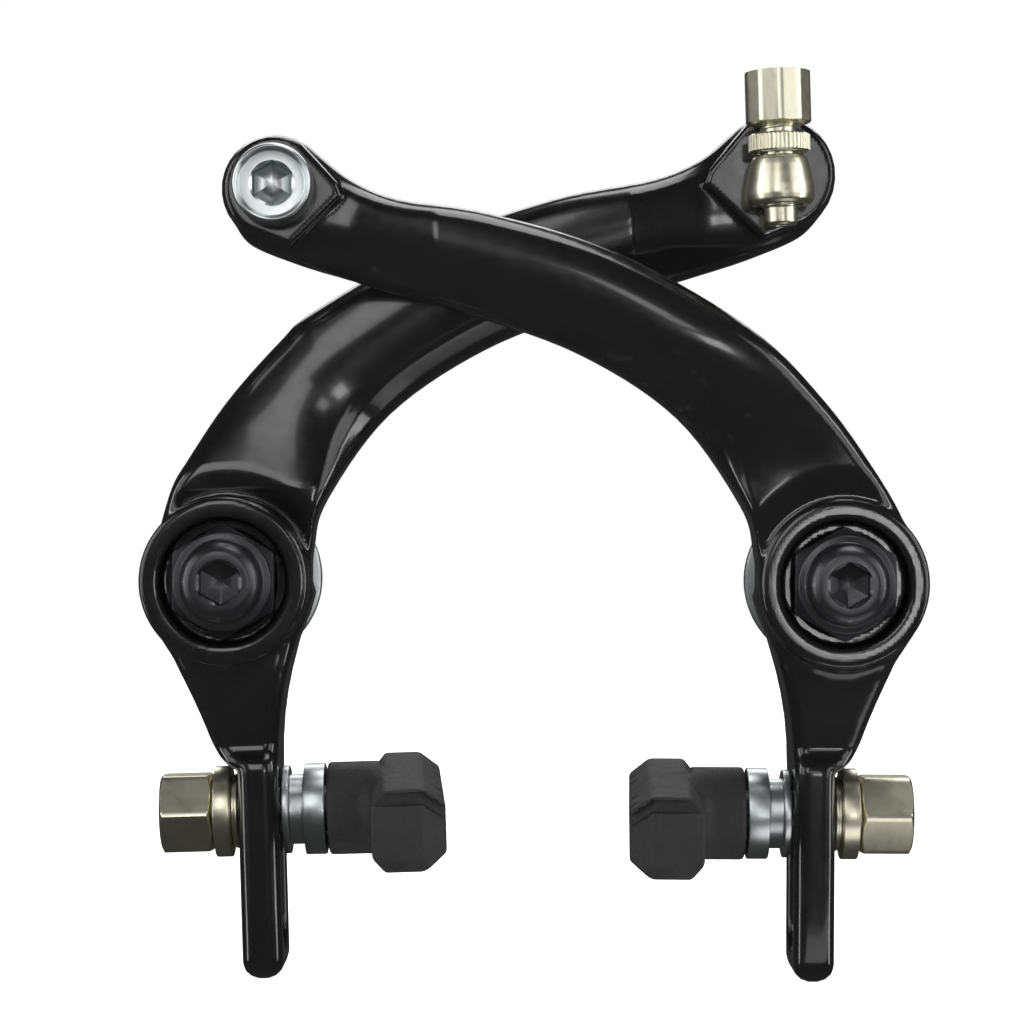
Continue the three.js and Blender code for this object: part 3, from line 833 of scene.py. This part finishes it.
for side in ("right", "left"):
    coil, coil_faces = grown(
        HELIX, Radius=COIL_RADIUS, Height=COIL_BACK - COIL_FRONT, Turns=COIL_TURNS, Wire=COIL_WIRE,
        Finish=SPRING_STEEL,
    )
    # the spiral climbs along Z from +X: lay it along Y, starting below the pivot
    laid = np.column_stack([coil[:, 1], COIL_BACK - coil[:, 2], -coil[:, 0]])
    shape = joined(
        (laid, coil_faces), end_rod(-COIL_RADIUS, -2.3, COIL_BACK), end_rod(COIL_RADIUS, COIL_FRONT, -13.0)
    )
    spring = mesh_object(f"{side}_coil_spring", to_frame(shape[0], side, False), shape[1])
    settle(spring, SPRING_STEEL, "spring_steel", None, [f"{side}_return_spring"], 60)
    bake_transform(spring)

# %% [markdown]
# ## Pads and their washers
# A pad clamps to the slotted leg between two pairs of washers. In each pair one washer
# is domed and the other is hollow, so the pad can be tilted before its nut is tight.
# The domes are parts of two spheres about one point, and the profiles use its formula.

# %% Domed and hollow washers
BALL_X, INNER_BALL, OUTER_BALL = -3.5, 8.0, 6.2
DOME_BORE, CUP_BORE = 3.9, 3.3


def dome_profile(towards, ball, base, flange, thick, rim, bore=DOME_BORE):
    r = np.linspace(rim, bore, 9)
    dome = [(float(a), float(BALL_X + towards * math.sqrt(ball**2 - a**2))) for a in r]
    shoulder = base + towards * thick
    return [(bore, base), (flange, base), (flange, shoulder), (rim, shoulder)] + dome


def cup_profile(towards, ball, base, rim_face, mouth, bore=CUP_BORE, radius=6.0):
    r = np.linspace(mouth, bore, 9)
    hollow = [(float(a), float(BALL_X + towards * math.sqrt((ball + 0.3) ** 2 - a**2))) for a in r]
    return [(bore, base), (radius, base), (radius, rim_face), (mouth, rim_face)] + hollow


INNER_DOME = dome_profile(-1, INNER_BALL, base=LEG_IN - 0.3, flange=5.8, thick=0.9, rim=4.6)
INNER_CUP = cup_profile(-1, INNER_BALL, base=-11.8, rim_face=-9.0, mouth=5.4)
OUTER_DOME = dome_profile(1, OUTER_BALL, base=LEG_OUT + 0.3, flange=4.9, thick=0.4, rim=4.8)
OUTER_CUP = cup_profile(1, OUTER_BALL, base=2.8, rim_face=0.6, mouth=5.1)
WASHERS = {
    "inner_domed_washer": (INNER_DOME, "pad_carriage", BRIGHT_ZINC, "bright_zinc"),
    "inner_cup_washer": (INNER_CUP, "pad_rocker", BRIGHT_ZINC, "bright_zinc"),
    "outer_domed_washer": (OUTER_DOME, "pad_carriage", YELLOW_ZINC, "yellow_zinc"),
    "outer_cup_washer": (OUTER_CUP, "pad_rocker", YELLOW_ZINC, "yellow_zinc"),
}
STUD_CENTRE = (0, *STUD)
for side in ("right", "left"):
    for label, (profile, body, material, slot) in WASHERS.items():
        washer = turned(f"{side}_{label}_turned", profile, "x", STUD_CENTRE, side, loop=True, ease=0.22)
        settle(washer, material, slot, f"{side}_{body}", [f"{side}_{label}"], 30)

# %% Sizes of the pad and its nut
PAD_FACE, PAD_BACK, PAD_HALF, PAD_FRONT, PAD_REAR = -27.2, -17.9, 5.2, -38.0, 20.0
PAD_MIDDLE = STUD[1] - 0.5
PAD_TOE = math.radians(2.2)
NECK_RADIUS, NECK_END = 6.1, -12.1
GROOVE_HEIGHT, GROOVE_HALF, GROOVE_DEPTH = 4.0, 0.8, 0.9
WATER_GROOVES, WATER_HALF, WATER_DEPTH = (-30.0, -21.0, 1.0, 10.0), 0.7, 1.0
NUT_FLATS, NUT_BASE, NUT_END, NUT_FLOOR = 10.0, 3.1, 9.9, 8.1
STUD_RADIUS, STUD_END, STUD_FLANGE, STUD_ROOM = 3.0, 7.7, 4.6, 3.2
print("pads", PAD_REAR - PAD_FRONT, "mm long")


# %% The stud and its closed nut
def pad_nut_rings():
    bar = chamfered_bar(NUT_FLATS, NUT_END, NUT_BASE, 4.75, turn=math.pi / 6)
    bore = [(4.4, NUT_BASE), (CUP_BORE, NUT_BASE), (CUP_BORE, NUT_FLOOR - 0.1), (0.0, NUT_FLOOR)]
    return [(0.0, NUT_END), (4.3, NUT_END)] + bar + bore


def pad_stud_rings():
    start, stop = PAD_BACK + 1.6, PAD_BACK + 2.8
    flange = [(0.0, start), (STUD_FLANGE, start), (STUD_FLANGE, stop), (STUD_RADIUS, stop)]
    return flange + [(STUD_RADIUS, STUD_END - 0.6), (STUD_RADIUS - 0.6, STUD_END), (0.0, STUD_END)]


for side in ("right", "left"):
    nut = turned(f"{side}_closed_pad_nut", pad_nut_rings(), "x", STUD_CENTRE, side)
    settle(nut, YELLOW_ZINC, "yellow_zinc", f"{side}_pad", [f"{side}_pad_nut"], 25)
    stud = turned(f"{side}_threaded_stud", pad_stud_rings(), "x", STUD_CENTRE, side)
    settle(stud, BRIGHT_ZINC, "bright_zinc", f"{side}_pad", [f"{side}_pad_stud"], 30)

# %% [markdown]
# The pad is a moulded block with bevelled corners, a groove across its front end and
# water grooves in its rubbing face. A field suits it, because moulded rubber has a small
# radius on every edge and a fillet where the round neck grows out of the block.

# %% The block of a pad
def bevel(u, v, from_u, from_v, run_u, run_v):
    """The field of a flat cut across a corner, that leaves run_u of one side and run_v of the other."""
    length = math.hypot(run_u, run_v)
    return ((from_u - u) * run_v + (from_v - v) * run_u) / length + run_u * run_v / length


def pad_block(x, y, z):
    h = z - PAD_MIDDLE
    high = np.abs(h)
    depth = x - PAD_FACE
    block = rounded_and(rounded_and(PAD_FACE - x, x - PAD_BACK, 0.4), high - PAD_HALF, 0.3)
    block = rounded_and(block, bevel(x, -high, PAD_FACE, -PAD_HALF, 2.8, 2.2), 0.3)
    block = rounded_and(block, bevel(-x, -high, -PAD_BACK, -PAD_HALF, 1.6, 2.0), 0.3)
    corner = bevel(x, y, PAD_FACE, PAD_FRONT, 2.9, 2.6)
    under = bevel(y, z, PAD_FRONT, PAD_MIDDLE - PAD_HALF, 1.3, 1.5)
    end = rounded_and(rounded_and(PAD_FRONT - y, corner, 0.2), under, 0.2)
    block = rounded_and(rounded_and(block, end, 0.25), y - PAD_REAR, 0.6)
    drop = np.clip((2.9 - depth) / 2.9, 0, 1) * 2.2
    groove = np.maximum(np.abs(h - GROOVE_HEIGHT + drop) - GROOVE_HALF, -GROOVE_DEPTH - end)
    block = rounded_cut(block, groove, 0.12)
    for place in WATER_GROOVES:
        block = rounded_cut(block, np.maximum(np.abs(y - place) - WATER_HALF, depth - WATER_DEPTH), 0.15)
    return block


# %% The moulded pads
def pad_field(x, y, z):
    middle = (PAD_FACE + PAD_BACK) / 2
    u, v = x - middle, y - STUD[0]
    across = u * math.cos(PAD_TOE) - v * math.sin(PAD_TOE) + middle
    along = u * math.sin(PAD_TOE) + v * math.cos(PAD_TOE) + STUD[0]
    r = np.hypot(y - STUD[0], z - STUD[1])
    neck = rounded_and(np.maximum(r - NECK_RADIUS, PAD_BACK - 1 - x), x - NECK_END, 0.5)
    body = rounded_or(pad_block(across, along, z), neck, 2.4)
    return rounded_cut(body, np.maximum(r - STUD_ROOM, PAD_BACK + 1 - x), 0.2)


PAD_CELL = 0.28
for side in ("right", "left"):
    low = (PAD_FACE - 1.2, PAD_FRONT - 0.3, STUD[1] - NECK_RADIUS - 0.8)
    high = (NECK_END, PAD_REAR + 0.3, STUD[1] + NECK_RADIUS + 0.8)
    points, faces = mesh_of(pad_field, low, high, PAD_CELL)
    pad = mesh_object(f"{side}_rubber_pad", to_frame(points, side), faces)
    settle(pad, RUBBER, "pad_rubber", f"{side}_pad", [f"{side}_brake_pad"], 60)

# %% [markdown]
# ## Cable hardware on the tips
# The front arm's tip carries a pinch bolt that clamps the cable behind the arm. The rear
# arm's tip carries a bell-shaped swivel, through which a hollow screw with a ten-sided
# head adjusts the cable's housing. A knurled ring locks it.

# %% The pinch bolt, its nut and the clamp washer
TIP_CENTRE = (TIP[0], 0, TIP[1])
CLAMP_RADIUS, CLAMP_FRONT, CLAMP_BACK = 5.6, -19.6, -17.8


def pinch_bolt_rings():
    hexagon = sided(5.0, rounding=1)
    socket = [(0.0, -30.0), (hexagon * 0.45, -29.8), (hexagon * 0.8, -29.3), (hexagon, -28.7),
              (hexagon, -30.3), (np.maximum(hexagon, 2.9), -30.6)]
    head = [(3.0, -30.6), (4.15, -30.65), (4.35, -31.15), (4.6, -31.4), (4.9, -31.2), (5.05, -30.7),
            (5.05, -26.0)]
    shank = [(3.0, -26.0), (3.0, -12.2), (2.4, -11.6), (0.0, -11.6)]
    return socket + head + shank


def clamp_field(x, y, z):
    r = np.hypot(x - TIP[0], z - TIP[1])
    washer = rounded_and(rounded_and(r - CLAMP_RADIUS, CLAMP_FRONT - y, 0.3), y - CLAMP_BACK, 0.3)
    groove = np.hypot(y - CLAMP_FRONT + 0.2, z - TIP[1] + 4.3) - 0.9
    return rounded_cut(rounded_cut(washer, r - TIP_BORE, 0.2), groove + 0 * x, 0.15)


def nut_rings(flats, front, back, bore):
    return chamfered_bar(flats, front, back, flats / 2 - 0.2) + [(bore + 0.4, back), (bore, back - 0.4),
                                                                (bore, front + 0.4), (bore + 0.4, front)]


bolt = turned("socket_pinch_bolt", pinch_bolt_rings(), "y", TIP_CENTRE, "right", ease=0.12)
settle(bolt, BRIGHT_ZINC, "bright_zinc", "pinch_bolt", ["pinch_bolt"], 30)
nut = turned("pinch_hex_nut", nut_rings(10, -17.5, -12.6, 3.3), "y", TIP_CENTRE, "right", loop=True)
settle(nut, BRIGHT_ZINC, "bright_zinc", "cable_clamp", ["pinch_nut"], 25)
points, faces = mesh_of(
    clamp_field, (TIP[0] - CLAMP_RADIUS, CLAMP_FRONT, TIP[1] - CLAMP_RADIUS),
    (TIP[0] + CLAMP_RADIUS, CLAMP_BACK, TIP[1] + CLAMP_RADIUS), 0.22,
)
washer = mesh_object("grooved_clamp_washer", to_frame(points, "right"), faces)
settle(washer, BRIGHT_ZINC, "bright_zinc", "cable_clamp", ["cable_clamp_washer"], 60)

# %% The swivel
CABLE_Y = -19.3
BELL = np.array([(0, -3.7), (3.8, -3.7), (4.25, -3.2), (4.4, -2.4), (4.35, -1.2), (4.1, 0.2),
                 (3.85, 1.4), (3.6, 2.2), (3.3, 2.6), (0, 2.6)], float)
SWIVEL_CENTRE = (TIP[0], CABLE_Y, TIP[1])


def swivel_field(x, y, z):
    r = np.hypot(x - TIP[0], y - CABLE_Y)
    h = z - TIP[1]
    bell = outline_field(np.vstack([BELL, BELL[::-1] * (-1, 1)]), r, h) + 0.12
    cross = np.hypot(x - TIP[0], h)
    neck = np.maximum(cross - 2.2, np.maximum(CABLE_Y + 1 - y, y + 14))
    shank = rounded_and(np.maximum(cross - 3.0, -14.9 - y), y + 2.4, 0.5)
    body = np.minimum(rounded_or(bell - 0.12, neck, 0.4), shank)
    return rounded_cut(body, r - 2.8, 0.2)


points, faces = mesh_of(
    swivel_field, (TIP[0] - 4.5, CABLE_Y - 4.5, TIP[1] - 3.8), (TIP[0] + 4.5, -2.3, TIP[1] + 3.1), 0.2
)
swivel = mesh_object("bell_swivel", to_frame(points, "left"), faces)
settle(swivel, YELLOW_ZINC, "yellow_zinc", "cable_swivel", ["swivel_stud"], 45)
ring = [(3.3, -6.2), (5.6, -6.2), (5.6, -7.2), (3.3, -7.2)]
ring = turned("thin_swivel_washer", ring, "y", TIP_CENTRE, "left", loop=True)
settle(ring, YELLOW_ZINC, "yellow_zinc", "cable_swivel", ["swivel_washer"], 30)
nut = turned("swivel_hex_nut", nut_rings(8, -5.9, -3.0, 3.3), "y", TIP_CENTRE, "left", loop=True)
settle(nut, YELLOW_ZINC, "yellow_zinc", "cable_swivel", ["swivel_nut"], 25)

# %% [markdown]
# Knurling is a pattern that repeats round a ring, which is work for instances: a circle
# gives the places, one small tooth is copied onto each, and the copies are made real.

# %% A tree that sets teeth round a ring
def knurl_tree():
    tree, given, out = growing_tree(
        "knurled_ring",
        [("Teeth", "NodeSocketInt", 36), ("Radius", "NodeSocketFloat", 4.0),
         ("Width", "NodeSocketFloat", 0.3), ("Height", "NodeSocketFloat", 2.0)],
    )
    circle = node(tree, "GeometryNodeMeshCircle")
    tooth = node(tree, "GeometryNodeMeshCylinder")
    tooth.inputs["Vertices"].default_value = 8
    copies = node(tree, "GeometryNodeInstanceOnPoints")
    link = tree.links.new
    link(given.outputs["Teeth"], circle.inputs["Vertices"])
    link(given.outputs["Radius"], circle.inputs["Radius"])
    link(given.outputs["Width"], tooth.inputs["Radius"])
    link(given.outputs["Height"], tooth.inputs["Depth"])
    link(circle.outputs["Mesh"], copies.inputs["Points"])
    link(tooth.outputs["Mesh"], copies.inputs["Instance"])
    give_out(tree, given, out, copies.outputs["Instances"])
    return tree


KNURL = knurl_tree()
print("tree", KNURL.name)

# %% The lock ring
RING_LOW, RING_HIGH, RING_RADIUS = 3.0, 5.5, 4.1
teeth, teeth_faces = grown(
    KNURL, Teeth=44, Radius=RING_RADIUS - 0.24, Width=0.22, Height=RING_HIGH - RING_LOW - 0.5,
    Finish=YELLOW_ZINC,
)
teeth = teeth + np.array(SWIVEL_CENTRE) + (0, 0, (RING_LOW + RING_HIGH) / 2)
band = [(2.8, RING_LOW), (3.6, RING_LOW), (RING_RADIUS - 0.2, RING_LOW + 0.3),
        (RING_RADIUS - 0.2, RING_HIGH - 0.3), (3.6, RING_HIGH), (2.8, RING_HIGH)]
shape = joined(skin(eased(band, 0.1, loop=True), "z", SWIVEL_CENTRE, True), (teeth, teeth_faces))
ring = mesh_object("knurled_lock_ring", to_frame(shape[0], "left"), shape[1])
settle(ring, YELLOW_ZINC, "yellow_zinc", "adjuster_lock_ring", ["adjuster_lock_ring"], 30)

# %% The hollow adjuster screw
def barrel_rings():
    head = chamfered_bar(8.3, 13.6, 6.8, 3.95, sides=10)
    mouth = [(2.6, 13.5), (2.6, 8.2), (2.4, 8.0), (0.95, 8.0)]
    screw = [(2.45, 6.75), (2.2, 6.5), (2.2, -3.9), (2.1, -4.1), (2.1, -6.0), (1.8, -6.4), (0.95, -6.4)]
    return mouth[::-1] + [(2.8, 13.6)] + head + screw


barrel = skin(eased(barrel_rings(), 0.12, loop=True), "z", SWIVEL_CENTRE, True)
thread, thread_faces = grown(HELIX, Radius=2.25, Height=10.4, Turns=10.4, Wire=0.22, Finish=YELLOW_ZINC)
thread = thread + np.array(SWIVEL_CENTRE) + (0, 0, -3.9)
shape = joined(barrel, (thread, thread_faces))
barrel = mesh_object("ten_sided_adjuster", to_frame(shape[0], "left"), shape[1])
settle(barrel, YELLOW_ZINC, "yellow_zinc", "adjuster_barrel", ["adjuster_barrel"], 25)

# %% [markdown]
# ## Camera, floor and light
# The view is straight from the front with a long lens. The floor and the background are
# white, but glossy surfaces don't mirror them, so the black arms stay black and only
# the soft lamps draw their highlights.

# %% Camera
CAMERA_FROM = Vector((-2.9, -400, 9.1)) * MM
camera_data = bpy.data.cameras.new("camera")
camera_data.lens, camera_data.sensor_width = 103.4, 36
camera_data.clip_start, camera_data.clip_end = 0.01, 20
camera = bpy.data.objects.new("camera", camera_data)
camera.location = CAMERA_FROM
camera.rotation_euler = (math.pi / 2, -math.radians(0.27), 0)
bpy.context.scene.collection.objects.link(camera)
bpy.context.scene.camera = camera
bpy.context.scene.view_settings.view_transform = "Standard"
print("camera at", tuple(round(c, 3) for c in camera.location))


# %% Floor
def pale_floor():
    size, height = 1.6, cad_box[0][2] - 0.0005
    mesh = bpy.data.meshes.new("floor")
    corners = [(-size, -size), (size, -size), (size, size), (-size, size)]
    mesh.from_pydata([(*corner, height) for corner in corners], [], [(0, 1, 2, 3)])
    floor = bpy.data.objects.new("floor", mesh)
    bpy.context.scene.collection.objects.link(floor)
    material = bpy.data.materials.new("pale_floor")
    material.use_nodes = True
    shader = material.node_tree.nodes["Principled BSDF"]
    shader.inputs["Base Color"].default_value = (0.9, 0.9, 0.9, 1)
    shader.inputs["Roughness"].default_value = 0.9
    shader.inputs["Emission Color"].default_value = (1, 1, 1, 1)
    shader.inputs["Emission Strength"].default_value = 1.0
    floor.data.materials.append(material)
    floor.visible_glossy = False


pale_floor()


# %% World: white to the eye, dim to the surfaces
def studio_world():
    world = bpy.data.worlds.new("studio")
    world.use_nodes = True
    tree = world.node_tree
    tree.nodes.clear()
    seen, dim = node(tree, "ShaderNodeBackground"), node(tree, "ShaderNodeBackground")
    dim.inputs["Color"].default_value = (1, 1, 1, 1)
    dim.inputs["Strength"].default_value = 0.04
    seen.inputs["Color"].default_value = (1, 1, 1, 1)
    seen.inputs["Strength"].default_value = 1.0
    path, mix = node(tree, "ShaderNodeLightPath"), node(tree, "ShaderNodeMixShader")
    out = node(tree, "ShaderNodeOutputWorld")
    tree.links.new(path.outputs["Is Camera Ray"], mix.inputs["Fac"])
    tree.links.new(dim.outputs[0], mix.inputs[1])
    tree.links.new(seen.outputs[0], mix.inputs[2])
    tree.links.new(mix.outputs[0], out.inputs["Surface"])
    bpy.context.scene.world = world


studio_world()


# %% Soft lamps
def softbox(name, place, brightness, width, height, aim=(0, -0.02, 0.0)):
    """A flat lamp of an even brightness, whatever its size."""
    lamp = bpy.data.lights.new(name, "AREA")
    lamp.shape, lamp.size, lamp.size_y = "RECTANGLE", width, height
    lamp.energy = brightness * math.pi * width * height
    box = bpy.data.objects.new(name, lamp)
    box.location = place
    box.rotation_euler = (Vector(aim) - Vector(place)).to_track_quat("-Z", "Y").to_euler()
    box.visible_camera = False
    bpy.context.scene.collection.objects.link(box)


softbox("overhead", (0.1, 0.02, 0.8), 4.0, 0.7, 0.35)
softbox("left_strip", (-0.7, -0.18, 0.1), 6.0, 0.12, 0.8)
softbox("right_strip", (0.7, -0.18, 0.1), 6.0, 0.12, 0.8)
softbox("left_panel", (-0.5, -0.42, 0.15), 1.8, 0.26, 0.5)
softbox("right_panel", (0.5, -0.42, 0.15), 1.8, 0.26, 0.5)
softbox("left_card", (-0.10, -0.47, 0.19), 3.0, 0.13, 0.26)
softbox("upper_card", (0.075, -0.55, 0.125), 4.0, 0.07, 0.06)
softbox("right_card", (0.115, -0.55, 0.0), 8.0, 0.07, 0.09)
softbox("table_card", (0.058, -0.04, cad_box[0][2]), 1.2, 0.06, 0.025, aim=(0.058, -0.04, 1))
softbox("back_rim", (0.0, 0.7, 0.5), 2.5, 0.8, 0.3)
